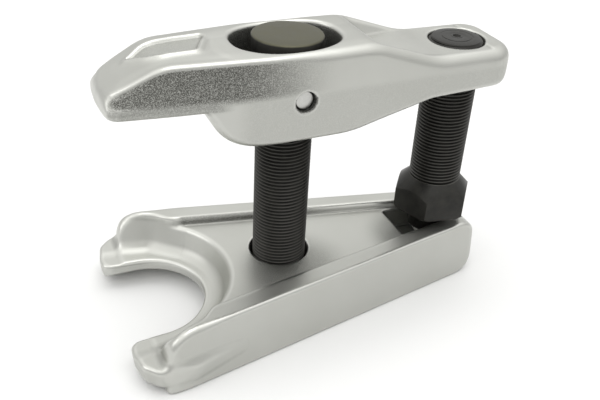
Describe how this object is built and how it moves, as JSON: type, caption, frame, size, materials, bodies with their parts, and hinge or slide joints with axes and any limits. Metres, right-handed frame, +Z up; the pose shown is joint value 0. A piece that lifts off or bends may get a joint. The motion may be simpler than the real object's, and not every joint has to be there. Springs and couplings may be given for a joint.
{
  "type": "ball joint separator",
  "caption": "Lever-type ball joint separator: forked lower arm and nosed upper lever joined by a tie bolt and spread at the rear by a forcing screw.",
  "frame": {"origin": "centre of the bounding box's bottom face, on the surface that the fork arm's underside rests on", "axes": "+X from the fork to the rear end, +Z up along the screws, the arms are symmetric about Y = 0"},
  "size_m": [0.1634, 0.0912, 0.1159],
  "materials": {
    "forged_steel": "satin plated forging, blasted grain with polished edges",
    "black_oxide": "black oxide, satin",
    "bright_steel": "ground steel, semi-bright"
  },
  "bodies": {
    "lower_arm": {"lower_fork_arm": "forged_steel", "seat_washer": "black_oxide"},
    "tie_bolt": {"tie_bolt": "black_oxide"},
    "nut": {"adjusting_nut": "black_oxide"},
    "upper_arm": {"upper_lever_arm": "forged_steel", "pivot_pin": "bright_steel"},
    "forcing_screw": {"forcing_screw": "black_oxide", "tip_ball": "bright_steel"}
  },
  "joints": [
    {"name": "nut_spin", "type": "hinge", "parent": "lower_arm", "child": "nut", "pos_m": [-0.00975, 0, 0.0068], "axis": [0, 0, 1], "range_deg": [0, 10090]},
    {"name": "height_adjust", "type": "slide", "parent": "lower_arm", "child": "tie_bolt", "axis": [0, 0, 1], "range_m": [-0.042, 0]},
    {"name": "screw_spin", "type": "hinge", "parent": "lower_arm", "child": "forcing_screw", "pos_m": [0.06335, 0, 0.0198], "axis": [0, 0, -1], "range_deg": [-900, 900]},
    {"name": "lever_tilt", "type": "hinge", "parent": "tie_bolt", "child": "upper_arm", "pos_m": [-0.00975, 0, 0.0973], "axis": [0, -1, 0], "range_deg": [-2.94, 2.94]}
  ],
  "couplings": [
    {"joint": "nut_spin", "follows": "height_adjust", "rad_per_m": -4188.8},
    {"joint": "lever_tilt", "follows": "screw_spin", "ratio": 0.0032658}
  ]
}
